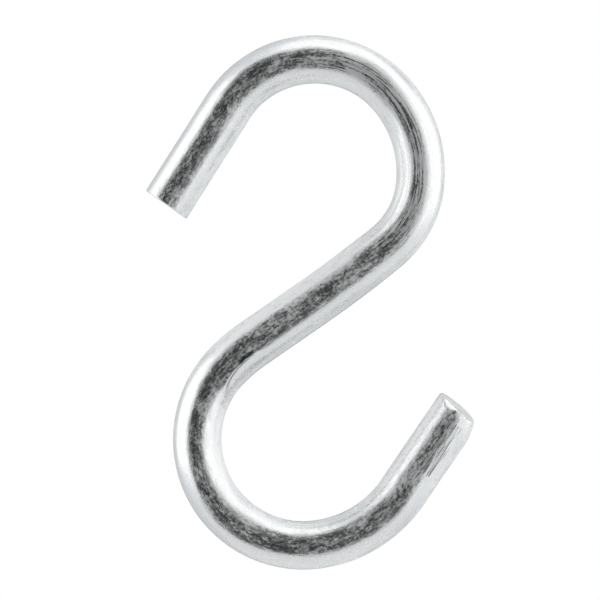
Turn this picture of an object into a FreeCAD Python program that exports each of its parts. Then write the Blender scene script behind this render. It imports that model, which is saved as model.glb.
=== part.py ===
"""Open S-hook for a trailer's safety chain: one length of round steel bar, sheared to length
and bent into two hooks that open on opposite sides.

Millimetres. +X runs across the hook towards the lower tip, +Y through the bar's thickness
towards the back, and +Z up the load line. The origin is the upper seat: the middle of the
upper hook's inside, where the eye that carries the hook bears. The centre of the lower seat
hangs straight below the centre of the upper one.
"""
import FreeCAD, Part
import cmath
import math
import os

BAR_DIAMETER = 9.525        # 3/8 in round bar
SHEAR_ALLOWANCE = 3.0       # extra length on each leg, which the shear cuts off
EDGE_ROUND = 0.4            # the rim of each sheared end

# The bending schedule, from the upper tip to the lower. A straight gives its length. A bend
# gives the radius of the bar's centre line and the degrees it turns, anticlockwise positive
# as seen from the front.
SCHEDULE = {
    "upper_leg": {"length": 22.4},
    "upper_seat": {"radius": 19.8, "turn": -107.5},
    "upper_back": {"radius": 23.1, "turn": -45.0},
    "upper_neck": {"radius": 18.1, "turn": -46.0},
    "shank_bow": {"radius": 235.0, "turn": -4.5},
    "shank": {"length": 13.5},
    "lower_neck": {"radius": 34.0, "turn": 10.5},
    "lower_seat": {"radius": 20.5, "turn": 139.5},
    "lower_back": {"radius": 23.6, "turn": 51.0},
    "lower_leg": {"length": 19.7},
}

# How far each sheared end is off square, in degrees: turned in the hook's plane,
# anticlockwise positive, and leaning to face the front.
UPPER_SHEAR = {"skew": -2.5, "lean": 0.0}
LOWER_SHEAR = {"skew": -6.0, "lean": 7.0}


def in_space(place, depth=0.0):
    """The vector of a place in the hook's plane, which is held as the complex number x + iz."""
    return FreeCAD.Vector(place.real, depth, place.imag)


def straight(place, heading, length):
    """A straight run of the centre line, and where it ends."""
    end = place + length * heading
    return Part.LineSegment(in_space(place), in_space(end)).toShape(), end


def bend(place, heading, radius, turn):
    """A bend of the centre line, where it ends, its heading there, and its centre."""
    centre = place + math.copysign(radius, turn) * 1j * heading
    spoke = place - centre
    half = cmath.rect(1.0, math.radians(turn / 2))
    middle, end = centre + spoke * half, centre + spoke * half ** 2
    arc = Part.Arc(in_space(place), in_space(middle), in_space(end)).toShape()
    return arc, end, heading * half ** 2, centre


def walk(place, heading):
    """Follows the schedule: its edges, each bend's centre, and where and how it ends."""
    edges, centres = [], {}
    for name, step in SCHEDULE.items():
        if "length" in step:
            edge, place = straight(place, heading, **step)
        else:
            edge, place, heading, centres[name] = bend(place, heading, **step)
        edges.append(edge)
    return edges, centres, place, heading


def hanging_start():
    """Where the upper tip is, and its heading, on a hook that hangs true from the origin."""
    _, centres, _, _ = walk(0j, 1 + 0j)
    load_line = centres["upper_seat"] - centres["lower_seat"]
    heading = 1j * abs(load_line) / load_line
    seat_radius = SCHEDULE["upper_seat"]["radius"] - BAR_DIAMETER / 2
    return -1j * seat_radius - centres["upper_seat"] * heading, heading


def bar_along(edges, start, heading, end, end_heading):
    """The round bar swept along the centre line, with the shear's allowance at both ends."""
    lead_in, _ = straight(start - SHEAR_ALLOWANCE * heading, heading, SHEAR_ALLOWANCE)
    lead_out, _ = straight(end, end_heading, SHEAR_ALLOWANCE)
    outer = start - SHEAR_ALLOWANCE * heading
    ring = Part.Circle(in_space(outer), in_space(heading), BAR_DIAMETER / 2).toShape()
    section = Part.Face(Part.Wire([ring]))
    return Part.Wire([lead_in, *edges, lead_out]).makePipe(section).removeSplitter()


def sheared(bar, tip, outward, skew, lean):
    """The bar cut off at the tip, by a face that is skewed and leans as the shear left it."""
    turned = outward * cmath.rect(1.0, math.radians(skew))
    across = math.cos(math.radians(lean))
    facing = in_space(across * turned, -math.sin(math.radians(lean)))
    waste = Part.makeCylinder(BAR_DIAMETER, 3 * SHEAR_ALLOWANCE, in_space(tip), facing)
    return bar.cut(waste)


def rounded_ends(bar):
    """The bar with the rims of its two flat ends rounded."""
    flats = [face for face in bar.Faces if isinstance(face.Surface, Part.Plane)]
    rims = [edge for face in flats for edge in face.Edges]
    return bar.makeFillet(EDGE_ROUND, rims)


def s_hook():
    start, heading = hanging_start()
    edges, _, end, end_heading = walk(start, heading)
    bar = bar_along(edges, start, heading, end, end_heading)
    bar = sheared(bar, start, -heading, **UPPER_SHEAR)
    bar = sheared(bar, end, end_heading, **LOWER_SHEAR)
    return rounded_ends(bar), sum(edge.Length for edge in edges)


def main():
    hook, length = s_hook()
    section = math.pi * BAR_DIAMETER ** 2 / 4
    print(f"bar {length:.1f} mm long; volume {hook.Volume:.0f} mm3, "
          f"section times length {section * length:.0f} mm3; valid {hook.isValid()}")
    os.makedirs("parts", exist_ok=True)
    hook.exportStep("parts/s_hook.step")


main()
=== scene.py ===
"""Looks of the open S-hook: one bent bar of bright zinc-plated steel, hanging over a pale floor
in a white studio with three soft boxes. Metres, in the part's own frame: +X across the hook,
+Y to the back, +Z up the load line, and the origin at the upper seat."""

import cmath
import math

import bmesh
import bpy
from mathutils import Matrix, Vector, noise


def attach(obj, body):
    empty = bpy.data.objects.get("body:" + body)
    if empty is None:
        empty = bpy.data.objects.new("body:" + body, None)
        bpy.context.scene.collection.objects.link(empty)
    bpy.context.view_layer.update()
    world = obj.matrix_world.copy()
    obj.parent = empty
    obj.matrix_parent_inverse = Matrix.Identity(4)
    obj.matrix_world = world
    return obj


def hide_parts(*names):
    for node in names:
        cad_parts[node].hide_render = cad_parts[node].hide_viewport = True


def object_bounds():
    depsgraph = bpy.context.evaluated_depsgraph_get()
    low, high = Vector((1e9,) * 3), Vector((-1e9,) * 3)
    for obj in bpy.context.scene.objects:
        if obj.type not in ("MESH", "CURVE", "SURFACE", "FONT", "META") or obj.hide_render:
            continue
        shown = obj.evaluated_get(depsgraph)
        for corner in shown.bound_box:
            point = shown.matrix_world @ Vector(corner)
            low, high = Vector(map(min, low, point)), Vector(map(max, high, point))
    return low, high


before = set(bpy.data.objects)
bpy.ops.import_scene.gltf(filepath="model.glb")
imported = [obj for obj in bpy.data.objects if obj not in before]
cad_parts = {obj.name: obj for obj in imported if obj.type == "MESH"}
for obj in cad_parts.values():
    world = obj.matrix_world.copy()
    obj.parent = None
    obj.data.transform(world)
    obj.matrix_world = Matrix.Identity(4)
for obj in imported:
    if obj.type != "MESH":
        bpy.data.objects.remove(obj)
cad_low, cad_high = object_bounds()

MM = 0.001
BAR_RADIUS = 9.525 * MM / 2

# The bending schedule, from the upper tip to the lower. A straight gives its length. A bend
# gives the radius of the bar's centre line and the degrees it turns, anticlockwise positive
# as seen from the front.
SCHEDULE = {
    "upper_leg": {"length": 22.4 * MM},
    "upper_seat": {"radius": 19.8 * MM, "turn": -107.5},
    "upper_back": {"radius": 23.1 * MM, "turn": -45.0},
    "upper_neck": {"radius": 18.1 * MM, "turn": -46.0},
    "shank_bow": {"radius": 235.0 * MM, "turn": -4.5},
    "shank": {"length": 13.5 * MM},
    "lower_neck": {"radius": 34.0 * MM, "turn": 10.5},
    "lower_seat": {"radius": 20.5 * MM, "turn": 139.5},
    "lower_back": {"radius": 23.6 * MM, "turn": 51.0},
    "lower_leg": {"length": 19.7 * MM},
}
UPPER_TIP = complex(-28.346, -24.540) * MM
UPPER_HEADING = cmath.rect(1.0, math.radians(60.007))

AROUND = 144                # faces round the bar
ROW = 0.44 * MM             # length of a row of faces along the bar
TIP_ROW = 1.1 * MM          # the last row at each tip, which the rounded rim takes up
RIM_FACES = 7               # faces across the rounding of a rim
FACE_RINGS = 11             # rings of faces on each sheared end
SHEAR_REACH = 5.2 * MM      # how far from its end the slant of a sheared end dies out

# How far each sheared end is off square, in degrees in the schedule's sense, how far it leans
# to the front, how far the shears rolled the bar's right side inward, the rounding of its rim,
# and the chips knocked off its front rim: how far left each is, how wide, how far it reaches
# back, and its slope in degrees.
UPPER_SHEAR = {"skew": -2.5, "lean": 0.0, "rolled": 0.0, "rim": 0.3 * MM, "chips": ()}
LOWER_SHEAR = {"skew": -6.0, "lean": 7.0, "rolled": 1.05 * MM, "rim": 0.45 * MM, "chips": (
    {"middle": -0.5 * MM, "width": 2.6 * MM, "reach": 1.6 * MM, "slope": 9.0},
    {"middle": 2.1 * MM, "width": 2.4 * MM, "reach": 0.95 * MM, "slope": 36.0},
)}

# What bending did to the section. Runs along the bar are in millimetres from the upper tip, and
# squeezes are shares of the bar's radius. The last squeeze is a little past the top of the seat.
BENT_RUNS = ((18, 100), (124, 206))
BENT_FADE, BENT_SQUEEZE = 14, 0.018
SEAT_RUN, SEAT_FADE, SEAT_SQUEEZE = 54, 9, 0.022

# Waves in the skin: height and length in millimetres, and how close they are round the bar.
WAVES = ((0.035, 9.0, 1.1), (0.012, 3.3, 3.0))

# What the shears did near the tips: waves dented into the last millimetres of the skin, and
# hollows torn into the faces, with their depth in millimetres and how close they are.
UPPER_DENTED, LOWER_DENTED = (0.0, 2.2), (218.4, 221.0)
TIP_DENTS = (0.05, 1.4, 2.6)
TORN_DEPTH, TORN_GRAIN = 0.60, 1.7

# The mark of the bending tool's edge inside the lower neck. It is nearest the middle of the bar
# at MARK_RUN, and lies MARK_LEFT bar radii left of it there. MARK_CURVE is how fast it swings
# out from there, in bar radii for each millimetre squared.
MARK_RUN, MARK_LEFT, MARK_CURVE = 127.0, 0.35, 0.0035
MARK_ENDS, MARK_FADE = (122.5, 136.0), 3.5

# The camera looks straight at the front, rolled so that the hook leans as it does when laid down.
LENS, SENSOR = 200.0, 36.0
FIELD = 116.2 * MM                                  # the width of the view at the hook
CAMERA_ROLL = math.radians(-2.338)
OFF_CENTRE = Vector((-2.45 * MM, 0.0, 0.4 * MM))    # from the hook's middle to the view's

# The studio, as a mirror ball in the hook's place would show it. Each window has its left, right,
# bottom and top edges and half the width of their blur, in radii of the ball.
RIGHT_BOX = (0.31, 0.83, -0.22, 0.59, 0.05)
LEFT_BOX = (-0.84, -0.41, -0.24, 0.47, 0.045)
TOP_BOX = (-0.20, 0.50, 0.47, 0.78, 0.08)
DARK_FRONT = (-0.38, 0.27, -0.41, 0.44, 0.04)
DARK_LOW_FRONT = (0.00, 0.355, -0.60, -0.10, 0.04)
DARK_SLANT, DARK_SLANT_EDGE = 0.5, (-0.45, -0.38)   # the dark front's lower edge, rising rightward
LIT_WALL = (0.23, 0.80, -0.02, 0.80, 0.20)
PALE_BACK = (-0.50, 0.50, -0.50, 0.50, 0.12)        # this and the next as seen from the back
GREY_BACK = (-0.17, 0.17, -0.20, 0.20, 0.05)

BACKDROP_WHITE = (1.0, 1.0, 1.0)
BOX_LIGHT = (1.45, 1.45, 1.44)
SURROUNDINGS_GREY = (0.86, 0.88, 0.89)
DARK_FRONT_GREY = (0.024, 0.024, 0.024)
LIT_WALL_GREY = (0.74, 0.74, 0.73)
PALE_BACK_GREY = (0.72, 0.735, 0.74)
GREY_BACK_GREY = (0.35, 0.36, 0.36)

FLOOR_RADIUS, FLOOR_DROP = 0.20, 0.22               # the drop is from the hook's lowest point
FLOOR_WHITE = (0.92, 0.92, 0.92, 1.0)

# Patterns in the zinc: the size of a grain along the bar and across it in millimetres, detail,
# roughness and seed.
PATTERNS = {
    "grain": ((0.64, 0.42), 1.0, 0.50, 2.2),
    "streaks": ((1.6, 0.42), 2.0, 0.60, 3.1),
    "blotches": ((3.4, 1.5), 1.0, 0.55, 5.3),
    "clouds": ((11.0, 4.0), 1.0, 0.50, 1.4),
    "lines": ((9.0, 0.30), 2.0, 0.50, 7.7),
}
MOTTLE = {"grain": 1.4, "streaks": 1.2, "blotches": 1.1, "clouds": 0.9}

# Stretches of the bar, in millimetres of run, how much duller than the rest their zinc is made, and
# how much duller again at the far left. This is painted light and shade: the haze lightens or
# darkens the reflections stretch by stretch and on one side of the bar.
SHADED_STRETCHES = (
    (-5.0, 37.0, -0.04, -0.38),
    (42.0, 88.0, 0.06, 0.0),
    (98.0, 130.0, 0.03, -0.38),
    (138.0, 158.0, 0.08, 0.38),
    (158.0, 172.0, -0.03, 0.38),
    (203.0, 225.0, 0.17, 0.0),
)
SHADED_STRETCH_FADE = 4.0

# Where the skin is worked, in millimetres. Draw lines round the upper bend fade in and out over
# two stretches of run. The others are windows of run and left, with half the width of their blur.
DRAWN_IN, DRAWN_OUT = (34, 54), (84, 98)
SCRAPED = (206, 219, -3.4, 0.6, 1.2)
RUBBED = (124.6, 128.8, 0.6, 2.0, 0.9)
TOOL_EDGE = (126, 134.5, 0.0, 3.0, 1.0)

# How strongly the patterns show in the haze and in the relief, and what full haze does to the
# metal.
HAZE_CONTRAST, HAZE_MIDDLE = 1.12, 0.545
RULING_CONTRAST, RULING_CUT = 3.4, 1.52
STREAK_RELIEF, SCRATCH_RELIEF = 0.8, 3.0            # beside 1 for the blotches
RELIEF_HEIGHT = 0.032 * MM
HAZE_UNMETALLIC = 0.58
POLISH, HAZE_ROUGH, TORN_ROUGH = 0.25, 0.10, 0.15

CLEAR_ZINC = (0.77, 0.78, 0.79)
HAZED_ZINC = (0.95, 0.96, 0.97)
SCORED_METAL = (0.26, 0.26, 0.26)
RUBBED_METAL = (0.30, 0.31, 0.33)
TORN_METAL = (0.82, 0.82, 0.815)

STRAIGHT = "straight_bar"   # each point's place on the bar before it was bent


# ---------------------------------------------------------------- the studio

def make_camera():
    """A long lens, straight at the front."""
    data = bpy.data.cameras.new("camera")
    data.lens, data.sensor_width = LENS, SENSOR
    data.clip_start, data.clip_end = 0.01, 20.0
    camera = bpy.data.objects.new("camera", data)
    distance = FIELD * LENS / SENSOR
    camera.location = (cad_low + cad_high) / 2 + OFF_CENTRE + Vector((0.0, -distance, 0.0))
    camera.rotation_euler = (math.radians(90.0), CAMERA_ROLL, 0.0)
    bpy.context.scene.collection.objects.link(camera)
    bpy.context.scene.camera = camera


def maths(tree, operation, *values, clamp=False):
    """The output of a Math node whose inputs are sockets or plain numbers."""
    node = tree.nodes.new("ShaderNodeMath")
    node.operation = operation
    node.use_clamp = clamp
    for socket, value in zip(node.inputs, values):
        if isinstance(value, bpy.types.NodeSocket):
            tree.links.new(value, socket)
        else:
            socket.default_value = value
    return node.outputs[0]


def without(tree, amount):
    """What is left of 1 when the amount is taken away."""
    return maths(tree, "SUBTRACT", 1.0, amount)


def rise(tree, value, start, end):
    """0 below start, 1 above end, smooth between."""
    node = tree.nodes.new("ShaderNodeMapRange")
    node.interpolation_type = "SMOOTHSTEP"
    tree.links.new(value, node.inputs["Value"])
    node.inputs["From Min"].default_value = start
    node.inputs["From Max"].default_value = end
    return node.outputs["Result"]


def window(tree, across, up, left, right, bottom, top, soft):
    """1 inside a soft-edged rectangle of the two values, 0 outside."""
    area = rise(tree, across, left - soft, left + soft)
    for side in (
        without(tree, rise(tree, across, right - soft, right + soft)),
        rise(tree, up, bottom - soft, bottom + soft),
        without(tree, rise(tree, up, top - soft, top + soft)),
    ):
        area = maths(tree, "MULTIPLY", area, side)
    return area


def mix_colour(tree, amount, first, second):
    """The first colour where the amount is 0 and the second where it is 1."""
    node = tree.nodes.new("ShaderNodeMix")
    node.data_type = "RGBA"
    sockets = {"Factor": node.inputs[0], "A": node.inputs[6], "B": node.inputs[7]}
    tree.links.new(amount, sockets["Factor"])
    for name, value in (("A", first), ("B", second)):
        if isinstance(value, bpy.types.NodeSocket):
            tree.links.new(value, sockets[name])
        else:
            sockets[name].default_value = (*value, 1.0)
    return node.outputs[2]


def on_mirror_ball(tree, way, from_front):
    """How far across and up a mirror ball a way is seen in it, from the front or the back."""
    x, y, z = way
    depth = maths(tree, "MULTIPLY_ADD", y, -0.5 if from_front else 0.5, 0.5)
    scale = maths(tree, "MULTIPLY", maths(tree, "SQRT", maths(tree, "MAXIMUM", depth, 1e-4)), 2.0)
    return maths(tree, "DIVIDE", x, scale), maths(tree, "DIVIDE", z, scale)


def make_studio():
    """White all round for the camera. For reflections and light: soft boxes left, right and above
    in pale surroundings, a dark front between them with a lit wall high on its right, and a light
    grey back with a darker middle."""
    scene = bpy.context.scene
    scene.view_settings.view_transform = "Standard"
    world = bpy.data.worlds.new("studio")
    scene.world = world
    world.use_nodes = True
    tree = world.node_tree
    tree.nodes.clear()
    way = tree.nodes.new("ShaderNodeSeparateXYZ")
    tree.links.new(tree.nodes.new("ShaderNodeTexCoord").outputs["Generated"], way.inputs[0])
    across, up = on_mirror_ball(tree, way.outputs, from_front=True)
    across_back, up_back = on_mirror_ball(tree, way.outputs, from_front=False)

    boxes = window(tree, across, up, *RIGHT_BOX)
    for box in (LEFT_BOX, TOP_BOX):
        boxes = maths(tree, "MAXIMUM", boxes, window(tree, across, up, *box))
    dark_front = window(tree, across, up, *DARK_FRONT)
    dark_front = maths(tree, "MAXIMUM", dark_front, window(tree, across, up, *DARK_LOW_FRONT))
    slanted = maths(tree, "MULTIPLY_ADD", across, -DARK_SLANT, up)
    dark_front = maths(tree, "MULTIPLY", dark_front, rise(tree, slanted, *DARK_SLANT_EDGE))
    lit_wall = window(tree, across, up, *LIT_WALL)
    pale_back = window(tree, across_back, up_back, *PALE_BACK)
    grey_back = window(tree, across_back, up_back, *GREY_BACK)

    room = mix_colour(tree, lit_wall, DARK_FRONT_GREY, LIT_WALL_GREY)
    colour = mix_colour(tree, boxes, SURROUNDINGS_GREY, BOX_LIGHT)
    colour = mix_colour(tree, dark_front, colour, room)
    colour = mix_colour(tree, pale_back, colour, PALE_BACK_GREY)
    colour = mix_colour(tree, grey_back, colour, GREY_BACK_GREY)
    seen = tree.nodes.new("ShaderNodeLightPath").outputs["Is Camera Ray"]
    colour = mix_colour(tree, seen, colour, BACKDROP_WHITE)
    background = tree.nodes.new("ShaderNodeBackground")
    tree.links.new(colour, background.inputs["Color"])
    output = tree.nodes.new("ShaderNodeOutputWorld")
    tree.links.new(background.outputs[0], output.inputs["Surface"])


def make_floor():
    """A pale round floor, far enough below the hanging hook to leave its front to the studio."""
    bm = bmesh.new()
    bmesh.ops.create_circle(bm, cap_ends=True, segments=96, radius=FLOOR_RADIUS)
    bmesh.ops.translate(bm, vec=(0.0, 0.0, cad_low.z - FLOOR_DROP), verts=bm.verts)
    floor = piece_of(bm, "floor")
    material = bpy.data.materials.new("pale_floor")
    material.use_nodes = True
    shader = material.node_tree.nodes["Principled BSDF"]
    shader.inputs["Base Color"].default_value = FLOOR_WHITE
    shader.inputs["Roughness"].default_value = 0.8
    floor.data.materials.append(material)


def piece_of(bm, name):
    """The bmesh as a piece of that name in the scene."""
    mesh = bpy.data.meshes.new(name)
    bm.to_mesh(mesh)
    bm.free()
    piece = bpy.data.objects.new(name, mesh)
    bpy.context.scene.collection.objects.link(piece)
    return piece


# ---------------------------------------------------------------- the bar

def in_space(place):
    """The vector of a place in the hook's plane, which is held as the complex number x + iz."""
    return Vector((place.real, 0.0, place.imag))


def across_bar(place, heading):
    """The frame of the bar's section: its x to the left of the heading, y to the front, z ahead."""
    left, ahead = in_space(1j * heading), in_space(heading)
    turn = Matrix((left, Vector((0.0, -1.0, 0.0)), ahead)).transposed()
    return Matrix.Translation(in_space(place)) @ turn.to_4x4()


class Bar:
    """The bar as it is drawn out along the schedule. Each point also keeps its place on the
    straight bar: how far along it is, how far to the left, and how far to the front."""

    def __init__(self, place, heading):
        self.bm = bmesh.new()
        self.straight = self.bm.verts.layers.float_vector.new(STRAIGHT)
        self.place, self.heading, self.run = place, heading, 0.0

    def draw(self, length, rows, centre=0j, turn=0.0, ahead=0j):
        """Draws one length of bar from a ring, round a centre or straight ahead."""
        bm = bmesh.new()
        straight = bm.verts.layers.float_vector.new(STRAIGHT)
        ring = bmesh.ops.create_circle(bm, segments=AROUND, radius=BAR_RADIUS)["verts"]
        for v in ring:
            v[straight] = (0.0, v.co.x, v.co.y)
        bmesh.ops.transform(bm, matrix=across_bar(self.place, self.heading), verts=ring)
        bmesh.ops.spin(bm, geom=bm.edges[:], cent=in_space(centre), axis=(0, -1, 0),
                       angle=math.radians(turn), dvec=in_space(ahead / rows), steps=rows,
                       use_duplicate=False)
        for i, v in enumerate(bm.verts):
            v[straight].x = self.run + length * (i // AROUND) / rows
        mesh = bpy.data.meshes.new("length_of_bar")
        bm.to_mesh(mesh)
        bm.free()
        self.bm.from_mesh(mesh)
        bpy.data.meshes.remove(mesh)
        self.run += length

    def straight_run(self, length, row=ROW):
        ahead = length * self.heading
        self.draw(length, max(1, round(length / row)), ahead=ahead)
        self.place += ahead

    def bend(self, radius, turn):
        length = radius * math.radians(abs(turn))
        centre = self.place + math.copysign(radius, turn) * 1j * self.heading
        self.draw(length, round(length / ROW), centre, turn)
        turned = cmath.rect(1.0, math.radians(turn))
        self.place = centre + (self.place - centre) * turned
        self.heading *= turned


def drawn_bar():
    """The plain round bar, bent, with a longer row at each tip for the rim's rounding."""
    bar = Bar(UPPER_TIP, UPPER_HEADING)
    for name, step in SCHEDULE.items():
        if "radius" in step:
            bar.bend(**step)
        elif name == "upper_leg":
            bar.straight_run(TIP_ROW, TIP_ROW)
            bar.straight_run(step["length"] - TIP_ROW)
        elif name == "lower_leg":
            bar.straight_run(step["length"] - TIP_ROW)
            bar.straight_run(TIP_ROW, TIP_ROW)
        else:
            bar.straight_run(step["length"])
    bmesh.ops.remove_doubles(bar.bm, verts=bar.bm.verts, dist=ROW / 100)
    return bar


def close_end(bm, straight, section, run, outward, skew, lean, rolled, rim, chips):
    """Caps an open end, rounds its rim and rings its face, then slants, chips and rolls it as the
    shears did."""
    inverse = section.inverted()

    def beside_tip(point):
        return abs((inverse @ point).z) < 0.9 * TIP_ROW and (inverse @ point).length < 2 * BAR_RADIUS

    loop = [e for e in bm.edges if e.is_boundary and beside_tip(e.verts[0].co)]
    cap = bmesh.ops.edgeloop_fill(bm, edges=loop)["faces"]
    bmesh.ops.bevel(bm, geom=list(cap[0].edges), offset=rim, segments=RIM_FACES, profile=0.5,
                    material=-1, affect="EDGES")
    cap = [f for f in bm.faces if len(f.verts) == AROUND and beside_tip(f.calc_center_median())]
    for _ in range(FACE_RINGS):
        bmesh.ops.inset_region(bm, faces=cap, thickness=(BAR_RADIUS - rim) / (FACE_RINGS + 1))
    bmesh.ops.poke(bm, faces=cap)
    along = section.to_3x3() @ Vector((0.0, 0.0, outward))
    inward = section.to_3x3() @ Vector((1.0, 0.0, 0.0))
    to_back = Vector((0.0, 1.0, 0.0))
    slope = math.tan(math.radians(skew)), math.tan(math.radians(lean))
    for v in bm.verts:
        place = inverse @ v.co
        far = abs(place.z) / SHEAR_REACH
        if far > 1.0 or place.xy.length > 1.01 * BAR_RADIUS:
            continue
        if beside_tip(v.co):
            v[straight] = (run + place.z, place.x, place.y)
        slant = -outward * place.x * slope[0] - place.y * slope[1]
        v.co += along * slant * (1.0 - far) ** 2
        v.co += to_back * chipped(place.x, place.y, outward * place.z, chips)
        v.co += inward * rolled * (1.0 - far) ** 1.5 * step_up(-place.x / BAR_RADIUS, 0.0, 1.2)


def chipped(left, front, beyond, chips):
    """How far the skin near a tip is cut back from the front by the chips in its rim."""
    cut = 0.0
    for chip in chips:
        top = math.sqrt(BAR_RADIUS ** 2 - chip["middle"] ** 2)
        aside = left - chip["middle"]
        fall = (beyond + chip["reach"]) * math.tan(math.radians(chip["slope"]))
        flat = top - aside * chip["middle"] / top - fall
        cut = max(cut, (front - flat) * (1.0 - step_up(abs(aside) / chip["width"], 0.2, 0.9)))
    return cut


def bell(value, middle, width):
    """1 at the middle, falling smoothly away on both sides of it."""
    return math.exp(-((value - middle) / width) ** 2)


def step_up(value, start, end):
    """0 before start, 1 after end, smooth between."""
    t = min(1.0, max(0.0, (value - start) / (end - start)))
    return t * t * (3.0 - 2.0 * t)


def plateau(value, start, end, fade):
    """1 between start and end, fading to 0 at both."""
    return step_up(value, start, start + fade) * (1.0 - step_up(value, end - fade, end))


def pressed_line(run, left):
    """The straight mark that the bending tool's edge left inside the lower neck: the skin is
    pressed flatter beyond the line, and thrown up a little before it."""
    line = MARK_LEFT + MARK_CURVE * (run - MARK_RUN) ** 2
    pressed = step_up(left, line, line + 0.12) * (1.0 - step_up(left, 0.7, 1.0))
    thrown_up = bell(left, line - 0.06, 0.08)
    return plateau(run, *MARK_ENDS, MARK_FADE) * (0.075 * thrown_up - 0.13 * pressed)


def scraped_flat(run, left, front):
    """How deep the vice scraped the front of the lower leg flat, right of its middle."""
    return 0.32 * step_up(run, 196, 213) * bell(left, -0.62, 0.30) * front


def swelling(run, left, front):
    """How far the worked bar's skin stands out from a true round bar, at a place on it."""
    run, left, front = run / MM, left / BAR_RADIUS, front / BAR_RADIUS

    def wave(height, length, closeness):
        return height * noise.noise((run / length, closeness * left, closeness * front))

    squeeze = BENT_SQUEEZE * sum(plateau(run, *bent, BENT_FADE) for bent in BENT_RUNS)
    squeeze += SEAT_SQUEEZE * bell(run, SEAT_RUN, SEAT_FADE)
    out = BAR_RADIUS / MM * squeeze * (0.5 * front * front - left * left)
    out += sum(wave(*values) for values in WAVES)

    # the shears dented the skin round both tips, and tore the faces
    near_tip = 1.0 - step_up(run, *UPPER_DENTED) + step_up(run, *LOWER_DENTED)
    torn = max(0.0, 1.0 - (left * left + front * front) / 0.88)
    out += near_tip * wave(*TIP_DENTS)
    out -= near_tip * torn * TORN_DEPTH * abs(noise.noise((7.4, TORN_GRAIN * left, TORN_GRAIN * front)))

    if front > 0.0:
        out += pressed_line(run, left) - scraped_flat(run, left, front)
    return out * MM


def s_hook():
    """The whole bar: drawn and bent, closed at both ends, and its skin worked."""
    bar = drawn_bar()
    bm, straight = bar.bm, bar.straight
    ends = ((across_bar(UPPER_TIP, UPPER_HEADING), 0.0, -1.0, UPPER_SHEAR),
            (across_bar(bar.place, bar.heading), bar.run, 1.0, LOWER_SHEAR))
    for section, run, outward, shear in ends:
        close_end(bm, straight, section, run, outward, **shear)
    bmesh.ops.recalc_face_normals(bm, faces=bm.faces)
    bm.normal_update()
    moves = [(v, v.normal * swelling(*v[straight])) for v in bm.verts]
    for v, move in moves:
        v.co += move
    for face in bm.faces:
        face.smooth = True
    return piece_of(bm, "s_hook_bar")


# ---------------------------------------------------------------- the finish

def noise_on(tree, place, size, detail, rough, seed):
    """Noise whose grains measure `size` (along the bar, across it) in millimetres."""
    mapping = tree.nodes.new("ShaderNodeMapping")
    tree.links.new(place, mapping.inputs["Vector"])
    along, across = (1.0 / (MM * s) for s in size)
    mapping.inputs["Scale"].default_value = (along, across, across)
    mapping.inputs["Location"].default_value = (seed, 2.3 * seed, 0.7 * seed)
    node = tree.nodes.new("ShaderNodeTexNoise")
    tree.links.new(mapping.outputs[0], node.inputs["Vector"])
    node.inputs["Scale"].default_value = 1.0
    node.inputs["Detail"].default_value = detail
    node.inputs["Roughness"].default_value = rough
    return node.outputs["Fac"]


def worked_window(tree, run, left, edges):
    """A window of run and left whose edges are given in millimetres."""
    return window(tree, run, left, *(MM * edge for edge in edges))


def tool_edge(tree, run, left):
    """The thin dark line along the edge of the bending tool's mark."""
    past = maths(tree, "MULTIPLY_ADD", run, 1.0 / MM, -MARK_RUN)
    line = maths(tree, "MULTIPLY_ADD", maths(tree, "MULTIPLY", past, past), MARK_CURVE, MARK_LEFT + 0.02)
    aside = maths(tree, "SUBTRACT", left, maths(tree, "MULTIPLY", line, BAR_RADIUS))
    thin = without(tree, rise(tree, maths(tree, "ABSOLUTE", aside), 0.06 * MM, 0.22 * MM))
    return maths(tree, "MULTIPLY", thin, worked_window(tree, run, left, TOOL_EDGE))


def rubbed_bare(tree, run, left, streaks):
    """Where the bending tool rubbed the zinc off: a streaky patch beside its mark, and the edge."""
    patch = worked_window(tree, run, left, RUBBED)
    patch = maths(tree, "MULTIPLY", patch, maths(tree, "MULTIPLY_ADD", streaks, 1.6, 0.2))
    return maths(tree, "MAXIMUM", rise(tree, patch, 0.45, 0.90), tool_edge(tree, run, left))


def torn_face(tree, left, front):
    """1 on the sheared faces, inside the rounding of their rims."""
    beside_axis = maths(tree, "MULTIPLY_ADD", front, front, maths(tree, "MULTIPLY", left, left))
    beside_axis = maths(tree, "SQRT", beside_axis)
    return without(tree, rise(tree, beside_axis, 0.92 * BAR_RADIUS, 0.99 * BAR_RADIUS))


def painted_shading(tree, run, left):
    """Painted light and shade: the zinc made duller or brighter stretch by stretch and toward the left.
    """
    shading_haze = 0.0
    for start, end, dull, leftward in SHADED_STRETCHES:
        shade = maths(tree, "MULTIPLY_ADD", left, leftward / BAR_RADIUS, dull)
        begun = rise(tree, run, (start - SHADED_STRETCH_FADE) * MM, (start + SHADED_STRETCH_FADE) * MM)
        ended = rise(tree, run, (end - SHADED_STRETCH_FADE) * MM, (end + SHADED_STRETCH_FADE) * MM)
        shading_haze = maths(tree, "MULTIPLY_ADD", shade, maths(tree, "SUBTRACT", begun, ended), shading_haze)
    return shading_haze


def zinc_haze(tree, patterns, shading_haze, ruled, mottled):
    """How hazy the zinc is: mottled all over, and ruled with lines where it was drawn or scraped."""
    # the painted light and shade of the stretches shifts where the mottle starts
    mottle = maths(tree, "SUBTRACT", shading_haze, sum(MOTTLE.values()) / 2)
    for name, weight in MOTTLE.items():
        mottle = maths(tree, "MULTIPLY_ADD", patterns[name], weight, mottle)
    ruling = maths(tree, "MULTIPLY_ADD", patterns["lines"], RULING_CONTRAST, -RULING_CUT)
    skin = maths(tree, "MULTIPLY", mottle, maths(tree, "MULTIPLY_ADD", mottled, 0.3, 0.7))
    skin = maths(tree, "MULTIPLY_ADD", ruling, ruled, skin)
    skin = maths(tree, "MULTIPLY_ADD", skin, HAZE_CONTRAST, HAZE_MIDDLE, clamp=True)
    return maths(tree, "POWER", skin, 2.0)


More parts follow.
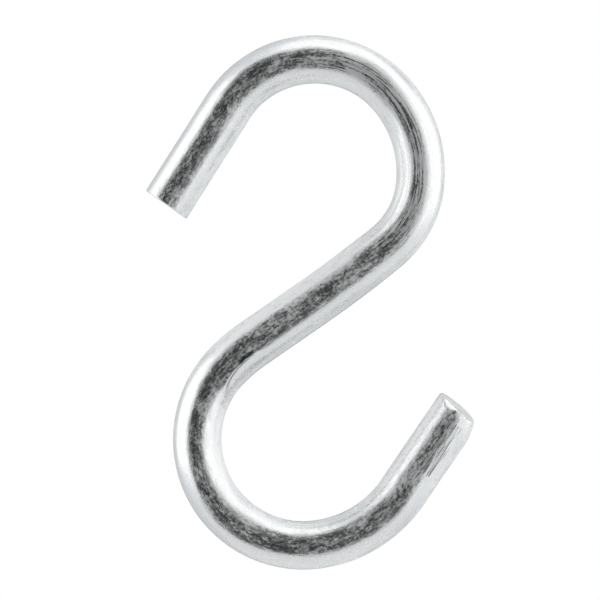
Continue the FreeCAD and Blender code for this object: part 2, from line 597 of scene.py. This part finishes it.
def zinc_relief(tree, patterns, scratches, mottled):
    """The Bump node's normal for the unevenness of the zinc and for the scratches."""
    relief = maths(tree, "MULTIPLY_ADD", patterns["streaks"], STREAK_RELIEF, patterns["blotches"])
    relief = maths(tree, "MULTIPLY", relief, maths(tree, "MULTIPLY_ADD", mottled, 0.8, 0.2))
    relief = maths(tree, "MULTIPLY_ADD", scratches, SCRATCH_RELIEF, relief)
    bump = tree.nodes.new("ShaderNodeBump")
    bump.inputs["Strength"].default_value = 1.0
    bump.inputs["Distance"].default_value = RELIEF_HEIGHT
    tree.links.new(relief, bump.inputs["Height"])
    return bump.outputs[0]


def zinc_plate():
    """Bright zinc: a slightly blurred mirror under a thin haze, which shows in what it reflects
    of the dark and hardly at all in what it reflects of the light."""
    material = bpy.data.materials.new("bright_zinc_plate")
    material.use_nodes = True
    tree = material.node_tree
    shader = tree.nodes["Principled BSDF"]
    attribute = tree.nodes.new("ShaderNodeAttribute")
    attribute.attribute_name = STRAIGHT
    place = attribute.outputs["Vector"]
    parts = tree.nodes.new("ShaderNodeSeparateXYZ")
    tree.links.new(place, parts.inputs[0])
    run, left, front = parts.outputs
    patterns = {name: noise_on(tree, place, *values) for name, values in PATTERNS.items()}

    drawn_in, drawn_out = (rise(tree, run, start * MM, end * MM) for start, end in (DRAWN_IN, DRAWN_OUT))
    drawn = maths(tree, "MULTIPLY", drawn_in, without(tree, drawn_out))
    scraped = worked_window(tree, run, left, SCRAPED)
    scratches = maths(tree, "MULTIPLY", patterns["lines"], scraped)
    scored = rise(tree, scratches, 0.50, 0.58)
    ruled = maths(tree, "MAXIMUM", drawn, scraped)
    mottled = without(tree, ruled)
    rubbed = rubbed_bare(tree, run, left, patterns["streaks"])
    torn = torn_face(tree, left, front)
    # the haze also carries painted light and shade, stretch by stretch and toward the left
    haze = zinc_haze(tree, patterns, painted_shading(tree, run, left), ruled, mottled)
    haze = maths(tree, "MULTIPLY", haze, without(tree, rubbed))

    colour = mix_colour(tree, haze, CLEAR_ZINC, HAZED_ZINC)
    colour = mix_colour(tree, scored, colour, SCORED_METAL)
    colour = mix_colour(tree, rubbed, colour, RUBBED_METAL)
    colour = mix_colour(tree, torn, colour, TORN_METAL)
    metallic = maths(tree, "MULTIPLY_ADD", haze, -HAZE_UNMETALLIC, 1.0)
    roughness = maths(tree, "MULTIPLY_ADD", haze, HAZE_ROUGH, POLISH)
    roughness = maths(tree, "MULTIPLY_ADD", torn, TORN_ROUGH, roughness)
    tree.links.new(colour, shader.inputs["Base Color"])
    tree.links.new(metallic, shader.inputs["Metallic"])
    tree.links.new(roughness, shader.inputs["Roughness"])
    tree.links.new(zinc_relief(tree, patterns, scratches, mottled), shader.inputs["Normal"])
    return material


# ---------------------------------------------------------------- the scene

make_camera()
make_studio()
make_floor()
hook = s_hook()
hook.data.materials.append(zinc_plate())
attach(hook, "root")
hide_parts("s_hook")
